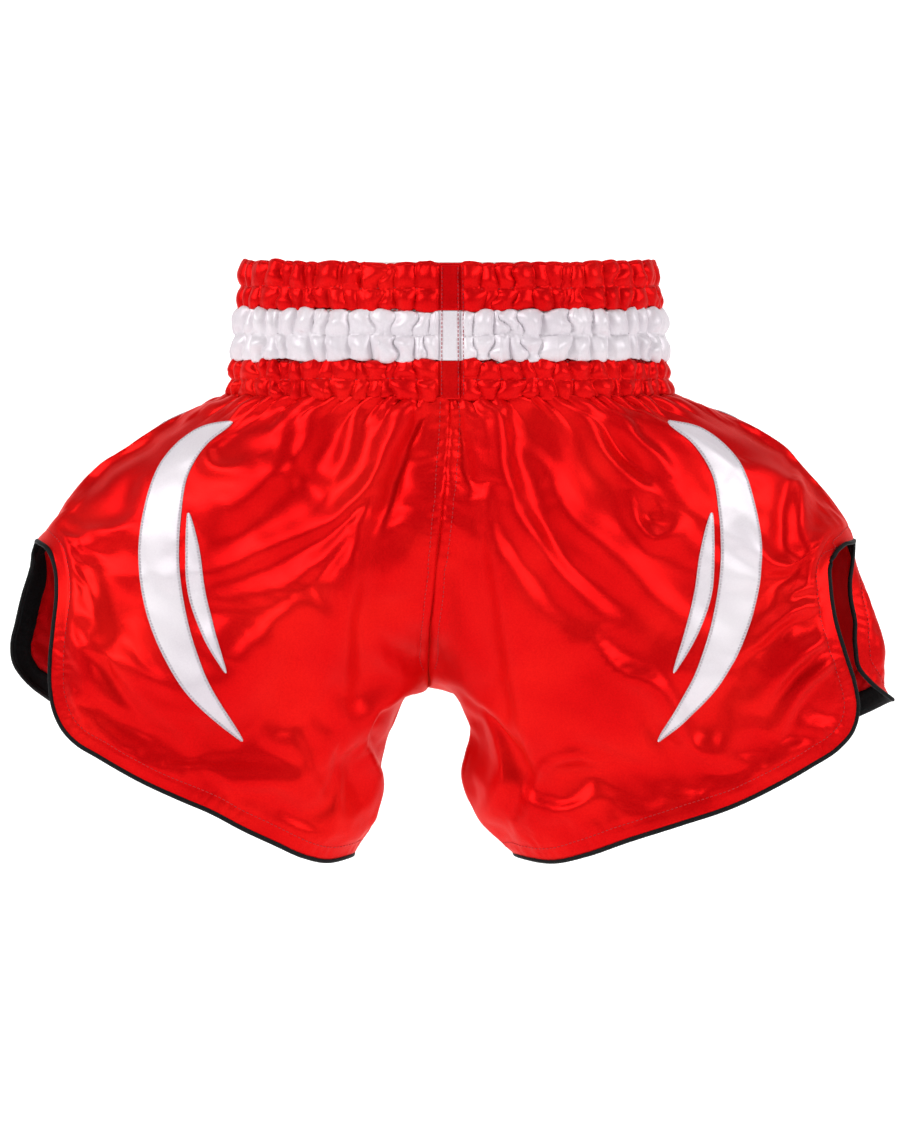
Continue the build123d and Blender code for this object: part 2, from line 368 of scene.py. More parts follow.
# ---------------------------------------------------------------- meshes

TUBE_SIDES, STITCH_SIDES = 10, 6
# Along a stitch: the share of its length, and the thread's radius and rise there, in radii.
STITCH_STATIONS = [(0.0, 0.35, -0.6), (0.18, 0.9, 0.3), (0.5, 1.0, 0.6), (0.82, 0.9, 0.3),
                   (1.0, 0.35, -0.6)]
THREAD_LIFT = 0.08  # how far a running stitch lies above the cloth
STITCH_PITCH, STITCH_LENGTH = 3.1, 2.3


def new_piece(name, points, faces, materials, face_materials=None):
    """A closed mesh from points in millimetres, with its faces outward, riding on the body."""
    mesh = bpy.data.meshes.new(name)
    mesh.from_pydata((points * MM).tolist(), [], [tuple(f) for f in faces])
    for material in materials:
        mesh.materials.append(material)
    if face_materials is not None:
        mesh.polygons.foreach_set("material_index", face_materials.astype(np.int32))
    mesh.polygons.foreach_set("use_smooth", [True] * len(mesh.polygons))
    mesh.validate()
    mesh.update()
    made = bmesh.new()
    made.from_mesh(mesh)
    bmesh.ops.recalc_face_normals(made, faces=made.faces)
    made.to_mesh(mesh)
    made.free()
    piece = bpy.data.objects.new(name, mesh)
    bpy.context.scene.collection.objects.link(piece)
    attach(piece, "root")
    return piece


def shell(name, outer, inner, materials, closed=False):
    """A thin closed sheet between two grids; a second material is for the inner one."""
    index, faces = grid_faces(*outer.shape[:2], closed)
    if closed:
        borders = [np.append(index[0], index[0, 0]), np.append(index[-1], index[-1, 0])[::-1]]
    else:
        borders = [index[0], index[-1, ::-1], index[::-1, 0], index[:, -1]]
    shift = index.size
    rim = np.vstack([np.stack([b[1:], b[:-1], b[:-1] + shift, b[1:] + shift], axis=-1)
                     for b in borders])
    layer = np.repeat([0, 1, 0], [len(faces), len(faces), len(rim)])
    return new_piece(name, np.vstack([outer.reshape(-1, 3), inner.reshape(-1, 3)]),
                     np.vstack([faces, faces[:, ::-1] + shift, rim]), materials,
                     layer if len(materials) > 1 else None)


def tube(name, line, radii, side_ways, material):
    """A tube along a line of points; radii are along side_ways and square to it."""
    along = unit(np.gradient(line, axis=0))
    u = square_to(along, side_ways)
    v = np.cross(along, u)
    angle = np.linspace(0, 2 * math.pi, TUBE_SIDES, endpoint=False)[:, None]
    ring = (line[:, None] + u[:, None] * (radii[0] * np.cos(angle))
            + v[:, None] * (radii[1] * np.sin(angle)))
    index, faces = grid_faces(len(line), TUBE_SIDES, closed=True)
    caps = []
    for tip, row in ((index.size, index[0, ::-1]), (index.size + 1, index[-1])):
        caps += [(tip, a, b) for a, b in zip(row, np.roll(row, -1))]
    return new_piece(name, np.vstack([ring.reshape(-1, 3), line[:1], line[-1:]]),
                     [*faces, *caps], [material])


def stitches(name, starts, ends, ups, radius, material):
    """Short threads, each from a start to an end, bowed along ups; all in one mesh."""
    along = unit(ends - starts)
    ups = square_to(along, ups)
    across = np.cross(along, ups)
    turns = [2 * math.pi * k / STITCH_SIDES for k in range(STITCH_SIDES)]
    points = np.stack([
        starts + (ends - starts) * share + ups * radius * rise
        + (across * math.cos(turn) + ups * math.sin(turn)) * radius * wide
        for share, wide, rise in STITCH_STATIONS for turn in turns
    ], axis=1)
    index, faces = grid_faces(len(STITCH_STATIONS), STITCH_SIDES, closed=True)
    caps = np.array([index[0, ::-1], index[-1]])
    first = np.arange(len(points))[:, None, None] * index.size
    return new_piece(name, points.reshape(-1, 3),
                     [*(first + faces).reshape(-1, 4), *(first + caps).reshape(-1, STITCH_SIDES)],
                     [material])


def running_stitch(line, ways, first, spare, middle):
    """Starts, ends and ups of stitches along a line on the cloth, whose normals are ways."""
    length = run_length(line)
    at = np.arange(first, length[-1] - spare, STITCH_PITCH)
    ups = along_line(at + middle, length, ways)
    lift = ups * (CLOTH + THREAD_LIFT)
    ends = along_line(at + STITCH_LENGTH, length, line)
    return along_line(at, length, line) + lift, ends + lift, ups


# ---------------------------------------------------------------- materials

def node_material(name):
    material = bpy.data.materials.new(name)
    material.use_nodes = True
    tree = material.node_tree
    return material, tree, tree.nodes["Principled BSDF"]


def add_node(tree, kind, inputs):
    """A node whose inputs are constants or the outputs they are linked from."""
    node = tree.nodes.new(kind)
    for socket, value in inputs.items():
        if isinstance(value, bpy.types.NodeSocket):
            tree.links.new(value, node.inputs[socket])
        else:
            node.inputs[socket].default_value = value
    return node


def noise(tree, scale, detail, stretch=(1, 1, 1)):
    place = tree.nodes.new("ShaderNodeTexCoord").outputs["Object"]
    mapping = add_node(tree, "ShaderNodeMapping", {"Vector": place, "Scale": stretch})
    made = add_node(tree, "ShaderNodeTexNoise", {
        "Vector": mapping.outputs["Vector"], "Scale": scale, "Detail": detail})
    return made.outputs["Fac"]


def colour_by(tree, shader, value, stops):
    """The base colour from a value, through stops of (value, colour)."""
    ramp = add_node(tree, "ShaderNodeValToRGB", {"Fac": value})
    elements = ramp.color_ramp.elements
    for element, (position, colour) in ((elements[0], stops[0]), (elements[1], stops[-1])):
        element.position, element.color = position, (*colour, 1)
    for position, colour in stops[1:-1]:
        elements.new(position).color = (*colour, 1)
    tree.links.new(ramp.outputs["Color"], shader.inputs["Base Color"])


def relief_by(tree, shader, height, strength, distance):
    """Fine relief of the surface, with its depth in metres."""
    bump = add_node(tree, "ShaderNodeBump", {
        "Height": height, "Strength": strength, "Distance": distance})
    tree.links.new(bump.outputs["Normal"], shader.inputs["Normal"])


def satin(name, dark, base, light, metallic, roughness, grain=1.0, bump=0.10, tint=None):
    """Warp-faced satin: fine threads, slubs, and a soft change of colour."""
    material, tree, shader = node_material(name)
    speckle = noise(tree, 900, 3)
    shade = add_node(tree, "ShaderNodeMath", {0: speckle, 1: 0.55 * grain, 2: noise(tree, 14, 2)})
    shade.operation = "MULTIPLY_ADD"
    colour_by(tree, shader, shade.outputs[0], [(0.45, dark), (0.72, base), (1.0, light)])
    warp, weft = noise(tree, 420, 2, (9.0, 9.0, 0.9)), noise(tree, 420, 2, (0.9, 0.9, 9.0))
    weave = add_node(tree, "ShaderNodeMath", {0: warp, 1: weft})
    weave.operation = "ADD"
    relief_by(tree, shader, weave.outputs[0], bump, 0.0004)
    rough = add_node(tree, "ShaderNodeMapRange", {
        "Value": speckle, "To Min": roughness - 0.05, "To Max": roughness + 0.07})
    tree.links.new(rough.outputs["Result"], shader.inputs["Roughness"])
    shader.inputs["Metallic"].default_value = metallic
    shader.inputs["Anisotropic"].default_value = 0.45
    shader.inputs["Sheen Weight"].default_value = 0.1
    shader.inputs["Sheen Roughness"].default_value = 0.4
    shader.inputs["Sheen Tint"].default_value = (*(tint or light), 1)
    shader.inputs["Specular IOR Level"].default_value = 0.38
    shader.inputs["Specular Tint"].default_value = (*(tint or light), 1)
    return material


def webbing(name, dark, light, roughness, scale=700, shine=0.4):
    """Plain woven tape, thread or label cloth."""
    material, tree, shader = node_material(name)
    weave = noise(tree, scale, 4)
    colour_by(tree, shader, weave, [(0.35, dark), (0.7, light)])
    relief_by(tree, shader, weave, 0.25, 0.0003)
    shader.inputs["Roughness"].default_value = roughness
    shader.inputs["Sheen Weight"].default_value = 0.15 * shine
    shader.inputs["Specular IOR Level"].default_value = shine
    return material


red = satin("red_satin", (0.58, 0.0, 0.002), (0.70, 0.001, 0.004), (0.80, 0.006, 0.006),
            0.50, 0.38, bump=0.2, tint=(1.0, 0.22, 0.12))
lining_red = satin("lining_satin", (0.40, 0.0, 0.002), (0.50, 0.001, 0.004),
                   (0.58, 0.004, 0.006), 0.05, 0.60)
white = satin("white_satin", (0.71, 0.65, 0.70), (0.81, 0.76, 0.80), (0.88, 0.84, 0.87),
              0.12, 0.42, grain=0.5, tint=(1.0, 0.93, 0.98))
black = webbing("black_binding", (0.003, 0.003, 0.003), (0.009, 0.009, 0.010), 0.6, shine=0.12)
facing_black = webbing("black_facing", (0.002, 0.002, 0.002), (0.006, 0.006, 0.007), 0.7,
                       shine=0.08)
red_thread = webbing("red_thread", (0.42, 0.0, 0.004), (0.62, 0.004, 0.008), 0.5)
dark_thread = webbing("dark_red_thread", (0.30, 0.0, 0.01), (0.45, 0.01, 0.02), 0.5)
white_thread = webbing("white_thread", (0.46, 0.41, 0.45), (0.66, 0.60, 0.64), 0.5)
elastic_white = webbing("elastic", (0.66, 0.66, 0.63), (0.84, 0.84, 0.81), 0.7, scale=500)
label_white = webbing("label", (0.74, 0.74, 0.74), (0.88, 0.88, 0.88), 0.6, scale=900)
# ---------------------------------------------------------------- the panels

ROWS, COLUMNS = 80, 84  # cells of a panel's coarse grid
VENT_ROW, CORNER_ROW, CROTCH_ROW = 34, 47, 58  # rows at the vent's top, its corner and the crotch
VENT_ROW_Z, CORNER_Z = -158.0, -206.0  # their heights at the centre seam
FINER = 2  # how many times finer the final grid is
SMOOTHING_PASSES = 60
HELD_WIDTH = 15.0  # the cloth is held this near the leg opening while it settles
GROWTH, MOST_MOVE = 0.035, 8.0  # how much larger the cloth grows, and the most it moves
SETTLE_FRAMES = 32
SEAM_INSET = 7.0  # from the centre seam to its row of topstitching


def section(face, side, z):
    """Centre, reach, depth and turn of one leg's half oval at each height."""
    outer = by_height(SIDE_LINES[side], z)
    centre_line = side * CROTCH_X * smooth_step((PANEL_TOP - z) / (PANEL_TOP - CROTCH_Z))
    first = INSEAMS[side][0][1]
    inner = np.where(z > first, centre_line, by_height(INSEAMS[side], np.minimum(z, first)))
    share = smooth_step((SPLIT_Z - z) / (SPLIT_Z - CROTCH_Z))
    middle = np.where(z > CROTCH_Z, (outer + inner) / 2 * share, (outer + inner) / 2)
    reach = outer - middle
    depth = np.interp(-z, -np.array(DEPTH_Z, float), DEPTHS[face])
    turn = np.arccos(np.clip((inner - middle) / reach, -1, 1))
    return middle, reach, depth, turn


def on_cloth(face, side, share, z):
    """Points of the smooth cloth: share runs from the centre line, 0, to the side, 1, and on."""
    middle, reach, depth, turn = section(face, side, z)
    angle = (1 - share) * turn
    level = np.sin(angle) * np.where(angle < 0, WRAP_DEPTH, 1.0)
    if face == BACK and side == RIGHT:  # the back edge lies flat, and shows its facing
        u = np.cos(angle)
        flat = smooth_step((u - 0.74) / 0.2) * smooth_step((VENT_TOP - z) / 30)
        level = level * (1 - flat) + (0.15 + 1.15 * (1 - u)) * flat
    return np.stack([side * (middle + reach * np.cos(angle)), face * level * depth, z], axis=-1)


def edge_lines(face, side):
    """The vent's edge, from its top down, and the hem, from the inseam out, as (share, height)."""
    vent, hem = VENTS[face, side], HEMS[face, side]
    line = spline(vent + hem[1:], 6001)
    corner = int(np.argmin(np.hypot(*(line - vent[-1]).T)))
    x, z = line.T
    middle, reach, _, turn = section(face, side, z)
    past = x > middle + reach
    x = np.where(past, 2 * (middle + reach) - x, x)
    angle = np.arccos(np.clip((x - middle) / reach, -1, 1)) * np.where(past, -1, 1)
    edge = np.stack([1 - angle / np.maximum(turn, 1e-6), z], axis=1)
    edge[0] = 1.0, VENT_TOP
    edge[-1, 0] = 0.0
    done = []
    for part, cells in ((edge[: corner + 1], ROWS - VENT_ROW), (edge[corner:][::-1], COLUMNS)):
        cloth = on_cloth(face, side, part[:, 0], part[:, 1])
        along = run_length(cloth)
        done.append(along_line(np.linspace(0, along[-1], cells + 1), along, part))
    return done


def base_grid(face, side):
    """The smooth panel: rows from the band to the leg opening, columns from centre to side."""
    s = np.linspace(0, 1, COLUMNS + 1)
    vent, low = edge_lines(face, side)
    outline = spline(SIDE_LINES[side], 2000)
    outline = outline[(outline[:, 1] <= PANEL_TOP) & (outline[:, 1] >= VENT_TOP)]
    seam_z = np.interp(np.linspace(0, 1, VENT_ROW + 1), np.linspace(0, 1, len(outline)),
                       outline[:, 1])
    seam_z[0], seam_z[-1] = PANEL_TOP, VENT_TOP
    top = np.stack([s, np.full_like(s, PANEL_TOP)], axis=1)
    down = np.interp(np.arange(ROWS + 1), [0, VENT_ROW, CORNER_ROW, CROTCH_ROW, ROWS],
                     [PANEL_TOP, VENT_ROW_Z, CORNER_Z, CROTCH_Z, low[0, 1]])
    left = np.stack([np.zeros(ROWS + 1), down], axis=1)
    right = np.vstack([np.stack([np.ones(VENT_ROW), seam_z[:-1]], axis=1), vent])
    S, T = s[None, :, None], np.linspace(0, 1, ROWS + 1)[:, None, None]
    patch = ((1 - T) * top[None] + T * low[None] + (1 - S) * left[:, None] + S * right[:, None]
             - (1 - S) * (1 - T) * top[0] - S * (1 - T) * top[-1]
             - (1 - S) * T * low[0] - S * T * low[-1])
    return relaxed(on_cloth(face, side, patch[..., 0], patch[..., 1]), SMOOTHING_PASSES)


def opening_path(grid):
    """The leg opening's edge on a grid: along the hem from the inseam, then up the vent."""
    rows = VENT_ROW * (grid.shape[0] - 1) // ROWS
    return np.vstack([grid[-1], grid[rows:-1, -1][::-1]])


def fold_height(points, folds, side):
    """Height of the folds at points, from their x and z."""
    x, z = side * points[..., 0], points[..., 2]
    total = np.zeros(x.shape)
    for line, height, wide, lean in folds:
        route = spline(line, 40)
        best = np.full(x.shape, np.inf)
        where = np.zeros(x.shape)
        sign = np.zeros(x.shape)
        for k in range(len(route) - 1):
            a, d = route[k], route[k + 1] - route[k]
            t = np.clip(((x - a[0]) * d[0] + (z - a[1]) * d[1]) / (d @ d), 0, 1)
            dx, dz = x - a[0] - t * d[0], z - a[1] - t * d[1]
            far = np.hypot(dx, dz)
            nearer = far < best
            best = np.where(nearer, far, best)
            where = np.where(nearer, (k + t) / (len(route) - 1), where)
            sign = np.where(nearer, np.sign(d[0] * dz - d[1] * dx), sign)
        width = wide * (0.75 + 0.5 * where) * np.where(sign > 0, 1 - lean, 1 + lean)
        taper = np.sin(math.pi * np.clip(where * 0.92 + 0.06, 0, 1)) ** 0.6
        total += 1.3 * height * taper * bell(best, width)
    return total


def gathers(position, seed):
    """Pleat heights between -1 and 1 along a gathered edge, from a position along it in mm."""
    draw = np.random.default_rng(seed)
    edges = [-30.0]
    while edges[-1] < 420:
        edges.append(edges[-1] + draw.uniform(8, 17))
    edges = np.array(edges)
    k = np.clip(np.searchsorted(edges, position) - 1, 0, len(edges) - 2)
    share = (position - edges[k]) / (edges[k + 1] - edges[k])
    tall = draw.uniform(0.6, 1.15, len(edges))[k]
    return (np.abs(np.sin(math.pi * share)) ** 0.7 * 2 - 1) * tall


def settled(grid, held_too):
    """The coarse panel after its cloth, too large for its held edges, has buckled."""
    rows, columns = grid.shape[:2]
    index, faces = grid_faces(rows, columns)
    mesh = bpy.data.meshes.new("settling")
    mesh.from_pydata((grid.reshape(-1, 3) * MM).tolist(), [], faces.tolist())
    piece = bpy.data.objects.new("settling", mesh)
    bpy.context.scene.collection.objects.link(piece)
    held = piece.vertex_groups.new(name="held")
    held.add(np.unique(np.concatenate([
        index[0], index[1], index[-1], index[:, 0], index[:, -1], index[held_too],
    ])).tolist(), 1.0, "REPLACE")
    cloth = piece.modifiers.new("cloth", "CLOTH")
    how = cloth.settings
    how.quality = 8
    how.mass = 0.12
    how.air_damping = 4.0
    how.tension_stiffness = how.compression_stiffness = 30
    how.shear_stiffness = 12
    how.bending_stiffness = 0.12
    how.shrink_min = how.shrink_max = -GROWTH
    how.vertex_group_mass = "held"
    how.effector_weights.gravity = 0.25
    cloth.collision_settings.use_collision = False
    cloth.point_cache.frame_start, cloth.point_cache.frame_end = 1, SETTLE_FRAMES
    scene = bpy.context.scene
    for number in range(1, SETTLE_FRAMES + 1):
        scene.frame_set(number)
    made = piece.evaluated_get(bpy.context.evaluated_depsgraph_get())
    points = np.array([v.co for v in made.data.vertices]).reshape(rows, columns, 3) / MM
    bpy.data.objects.remove(piece)
    bpy.data.meshes.remove(mesh)
    scene.frame_set(1)
    move = relaxed(points - grid, 2)
    size = np.linalg.norm(move, axis=2, keepdims=True)
    return grid + move * (MOST_MOVE * np.tanh(size / MOST_MOVE) / np.maximum(size, 1e-6))


def panel_points(face, side):
    """The panel's middle surface with its folds, gathers, seams and puckers."""
    grid = base_grid(face, side)
    outward = (side * 0.2, face, 0.0)
    normal = normals_of(grid, outward)
    key = 10 + face * 2 + side
    folds = BACK_FOLDS
    if face == FRONT:
        folds = [([(side * x, z) for x, z in line], height, wide, lean * side)
                 for line, height, wide, lean in FOLDS[side]]
    height = fold_height(grid, folds, side)
    height += 1.5 * waves(grid, 70, key) + 0.7 * waves(grid, 28, key + 50)
    to_opening, _ = edge_distance(grid, opening_path(grid))
    to_side = arc_length(grid, 1, backwards=True)
    calm = smooth_step(to_opening / 16)
    near_side = smooth_step(to_side / 22 + 0.15)
    quiet_top = smooth_step(arc_length(grid, 0) / 16)
    grid = grid + normal * (height * calm * near_side * quiet_top)[..., None]
    grid = settled(grid, to_opening < HELD_WIDTH)

    grid = refined(refined(grid, FINER, 0), FINER, 1)
    normal = normals_of(grid, outward)
    from_top = arc_length(grid, 0)
    to_opening, opening_along = edge_distance(grid, opening_path(grid))
    from_centre = arc_length(grid, 1)
    top_along = np.broadcast_to(from_centre[:1], from_centre.shape)

    # pleats that the band gathers
    pleats = gathers(top_along + 2.5 * waves(grid, 45, key + 7), key + 3)
    broad = np.sin(top_along / 11.5 + 2.0 * waves(grid, 90, key + 8))
    fade = np.exp(-((from_top / 15.0) ** 1.3))
    long_fade = np.exp(-((from_top / 42.0) ** 1.6)) * smooth_step(from_top / 12)
    height = 2.3 * pleats * fade + 2.4 * broad * long_fade

    # puckers along the facing's two edges, and the groove of its stitching
    ripple = np.sin(opening_along / 1.25 + 2.2 * waves(grid, 18, key + 21))
    band = bell(to_opening - 6.0, 4.0) + 0.7 * bell(to_opening - 14.0, 4.5)
    patchy = smooth_step(0.5 + 0.7 * waves(grid, 60, key + 22))
    below_vent = smooth_step((VENT_TOP - 20 - grid[..., 2]) / 40)
    height += 0.36 * ripple * band * patchy * below_vent
    height -= 0.55 * bell(to_opening - 10.0, 0.9) * smooth_step(from_centre / 6)

    # puckers beside the centre seam, the seam itself, and the groove of its stitching
    pucker = np.sin(grid[..., 2] / 1.35 + 1.6 * waves(grid, 20, key + 31))
    above = smooth_step((grid[..., 2] - CROTCH_Z) / 20)
    height += 0.5 * pucker * bell(from_centre - 5.0, 3.2) * above
    height -= 0.9 * bell(from_centre, 1.3)
    height -= 0.35 * bell(from_centre - SEAM_INSET, 0.8) * above
    return grid + normal * height[..., None]


CENTRE_EDGE, SIDE_EDGE = 0, -1  # a panel's first and last column
WELD_REACH = 26.0
panels = {(face, side): panel_points(face, side)
          for face in (FRONT, BACK) for side in (LEFT, RIGHT)}


def weld(first, second, column, rows):
    """Moves two panels' shared edges to their mean in these rows, fading into each panel."""
    mean = (panels[first][rows, column] + panels[second][rows, column]) / 2
    for key in (first, second):
        grid = panels[key]
        fade = bell(arc_length(grid, 1, backwards=column == SIDE_EDGE), WELD_REACH)
        grid[rows] += (mean - grid[rows, column])[:, None] * fade[rows, :, None]


ABOVE, BELOW = slice(0, CROTCH_ROW * FINER + 1), slice(CROTCH_ROW * FINER, None)
SEAM = slice(0, VENT_ROW * FINER + 1)
for side in (LEFT, RIGHT):
    weld((FRONT, side), (BACK, side), CENTRE_EDGE, BELOW)
    weld((FRONT, side), (BACK, side), SIDE_EDGE, SEAM)
for face in (FRONT, BACK):
    weld((face, LEFT), (face, RIGHT), CENTRE_EDGE, ABOVE)

CLOTH = 0.45  # half the thickness of the drawn cloth
panel_pieces, panel_normals = {}, {}
for (face, side), grid in panels.items():
    normal = normals_of(grid, (side * 0.2, face, 0))
    panel_normals[face, side] = normal
    name = f"{FACE_NAMES[face]}_panel_{SIDE_NAMES[side]}"
    piece = shell(f"satin_{name}", grid + normal * CLOTH, grid - normal * CLOTH, [red, lining_red])
    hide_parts(name)
    panel_pieces[face, side] = piece


# ---------------------------------------------------------------- leg openings

def inward_rows(grid, normal, distances):
    """Lines on a panel at these distances from its leg opening, and the normals there."""
    _, faces = grid_faces(*grid.shape[:2])
    tree = BVHTree.FromPolygons(grid.reshape(-1, 3).tolist(), faces.tolist())
    edge, top = opening_path(grid), opening_path(normal)
    within = np.vstack([grid[-8], grid[VENT_ROW * FINER : -1, -8][::-1]])
    steps = run_length(edge)
    at = np.linspace(0, steps[-1], int(steps[-1] / 2.5))
    points, ways = along_line(at, steps, edge), along_line(at, steps, top)
    along = np.gradient(points, axis=0)
    along[2:-2] = (along[:-4] + along[1:-3] + along[2:-2] + along[3:-1] + along[4:]) / 5
    go = np.cross(ways, along)
    inside = along_line(at, steps, within) - points
    if (go * inside).sum() < 0:
        go = -go
    lines, tops, far = [], [], 0.0
    for distance in distances:
        while far < distance - 1e-6:
            step = min(1.0, distance - far)
            far += step
            go = square_to(ways, go)
            for k, target in enumerate(points + go * step):
                points[k], way, _, _ = tree.find_nearest(Vector(target))
                way = np.array(way)
                ways[k] = way if way @ ways[k] > 0 else -way
        lines.append(points.copy())
        tops.append(unit(ways))
    return np.array(lines), np.array(tops)


FACING_ROWS = np.linspace(0.2, 13.5, 10)  # distances from the leg opening's edge
STITCH_ROW = 7  # the hem is stitched along this one
THREAD = 0.32
for (face, side), grid in panels.items():
    normal = panel_normals[face, side]
    tag = f"{FACE_NAMES[face]}_{SIDE_NAMES[side]}"
    lines, ways = inward_rows(grid, normal, FACING_ROWS)
    for _ in range(4):
        ways[:, 1:-1] = (ways[:, :-2] + 2 * ways[:, 1:-1] + ways[:, 2:]) / 4
    ways = unit(ways)
    out = unit(lines[0] - lines[2])
    piece = tube(f"bias_binding_{tag}", lines[0] + out * 0.8, (1.7, 1.4), out, black)
    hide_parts(f"binding_{tag}")

    piece = shell(f"facing_tape_{tag}", lines - ways * (CLOTH + 0.45),
                  lines - ways * (CLOTH + 0.95), [facing_black])
    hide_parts(f"facing_{tag}")

    rows = running_stitch(lines[STITCH_ROW], ways[STITCH_ROW], 2.0, 4, 1.1)
    piece = stitches(f"topstitch_{tag}", *rows, THREAD, red_thread)
    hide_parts(f"hem_stitch_{tag}")


# ---------------------------------------------------------------- centre seams

for face in (FRONT, BACK):
    rows_of_thread = []
    for side in (LEFT, RIGHT):
        grid, normal = panels[face, side], panel_normals[face, side]
        across = arc_length(grid, 1)
        rows = np.where(grid[:, 0, 2] > CROTCH_Z + 12)[0]
        line, ways = (np.array([along_line(SEAM_INSET, across[i], values[i]) for i in rows])
                      for values in (grid, normal))
        rows_of_thread.append(running_stitch(line, ways, 3.0, 3, 1.0))
    piece = stitches(f"centre_topstitch_{FACE_NAMES[face]}", *map(np.vstack, zip(*rows_of_thread)),
                     THREAD, red_thread)
    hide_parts(f"seam_stitch_{FACE_NAMES[face]}")


# ---------------------------------------------------------------- appliques

def tree_of(pieces):
    points, faces = [], []
    for piece in pieces:
        start = len(points)
        points += [v.co.copy() for v in piece.data.vertices]
        faces += [tuple(start + k for k in p.vertices) for p in piece.data.polygons]
    return BVHTree.FromPolygons(points, faces)


trees = {face: tree_of([panel_pieces[face, side] for side in (LEFT, RIGHT)])
         for face in (FRONT, BACK)}


def dropped(face, x, z):
    """The panel's outer surface and its normal, seen straight from the front or behind."""
    start = Vector((x * MM, face * 0.3, z * MM))
    hit, way, _, _ = trees[face].ray_cast(start, Vector((0, -face, 0)))
    if hit is None:
        hit, way, _, _ = trees[face].find_nearest(Vector((x * MM, face * 0.03, z * MM)))
    if way.y * face < 0:
        way = -way
    return np.array(hit) / MM, np.array(way)


LEVELS = np.arange(-400.0, -98.0, 3.0)
TURN_WIDTH = 14.0  # an applique near the side turns round it within this width
LENGTH_STEPS, WIDTH_STEPS = 150, 14
ZIGZAG_PITCH = 1.15
for blade, (face, middle_line, full_width) in APPLIQUES.items():
    for side in (LEFT, RIGHT):
        cloth = panels[face, side].reshape(-1, 3)
        widest = [np.abs(cloth[np.abs(cloth[:, 2] - level) < 4, 0]).max() for level in LEVELS]
        line = spline(middle_line, LENGTH_STEPS + 1)
        along = unit(np.gradient(line, axis=0))
        square = np.stack([-along[:, 1], along[:, 0]], axis=1)
        share = np.linspace(0, 1, LENGTH_STEPS + 1)
        half = full_width / 2 * np.sin(math.pi * share**0.9) ** 0.8 + 0.35
        points = np.zeros((LENGTH_STEPS + 1, WIDTH_STEPS + 1, 3))
        ways = np.zeros_like(points)
        for i in range(LENGTH_STEPS + 1):
            for j, across in enumerate(np.linspace(-1, 1, WIDTH_STEPS + 1)):
                x, z = line[i] + square[i] * across * half[i]
                past = x - np.interp(z, LEVELS, widest) + TURN_WIDTH + 1
                if past > 0:
                    x += TURN_WIDTH * (1 - math.exp(-past / TURN_WIDTH)) - past
                points[i, j], ways[i, j] = dropped(face, side * x, z)
        for _ in range(2):
            ways[1:-1] = (ways[:-2] + ways[1:-1] * 2 + ways[2:]) / 4
        ways = unit(ways)
        node = f"{blade}_{SIDE_NAMES[side]}"
        piece = shell(f"satin_{node}", points + ways * 0.75, points + ways * 0.12, [white])
        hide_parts(node)

        starts, ends, ups = [], [], []
        for column, inward in ((0, 1), (-1, -1)):
            edge, up = points[:, column], ways[:, column]
            inner = points[:, column + 2 * inward] - edge
            inner = unit(inner)
            length = run_length(edge)
            at = np.arange(1.0, length[-1] - 1, ZIGZAG_PITCH)
            skew = np.where(np.arange(len(at)) % 2, 0.5, 0.1)
            way, inn = along_line(at, length, up), along_line(at, length, inner)
            reach = np.clip(np.interp(at, length, half) * 0.6, 0.5, 1.9)[:, None]
            starts.append(along_line(at, length, edge) - inn * 0.35 + way * 0.6)
            ends.append(along_line(at + skew, length, edge) + inn * reach + way * 0.85)
            ups.append(way)
        stitch = stitches(f"zigzag_{node}", *map(np.vstack, (starts, ends, ups)), 0.36,
                          white_thread)


# ---------------------------------------------------------------- the waistband

BAND_STEPS = 1080  # points round the band
CHANNEL_STEPS = 14  # points down a channel
FRONT_DIP = 3.6


def oval(angle, z, outward):
    """Points of the band's oval; angle 0 is the centre front, and grows towards +X."""
    share = np.clip(-z / BAND_HEIGHT, 0, 1.1)
    half_x = BAND_TOP_HALF[0] + (BAND_LOW_HALF[0] - BAND_TOP_HALF[0]) * share
    half_y = BAND_TOP_HALF[1] + (BAND_LOW_HALF[1] - BAND_TOP_HALF[1]) * share
    way = np.stack([np.sin(angle) / half_x, -np.cos(angle) / half_y], axis=-1)
    way = unit(way)
    x = half_x * np.sin(angle) + way[..., 0] * outward
    y = -half_y * np.cos(angle) + way[..., 1] * outward
    return np.stack([x, y, z], axis=-1)


turn = np.linspace(0, 2 * math.pi, 4001)
ring = oval(turn, np.full_like(turn, -BAND_HEIGHT / 2), 0.0)
ring_length = run_length(ring)
GIRTH = ring_length[-1]
band_at = np.linspace(0, GIRTH, BAND_STEPS, endpoint=False)
band_angle = np.interp(band_at, ring_length, turn)


def creases(seed, low, high):
    """Where the folds between puffs lie round the band, in millimetres."""
    draw = np.random.default_rng(seed)
    edges = [JOIN_HALF + 0.5]
    while edges[-1] < GIRTH - JOIN_HALF - low:
        edges.append(edges[-1] + draw.uniform(low, high))
    edges[-1] = GIRTH - JOIN_HALF - 0.5
    return np.array(edges)


strip_creases = {name: creases(31 + n, 7.0, 17.0) for n, name in enumerate(STRIPS)}


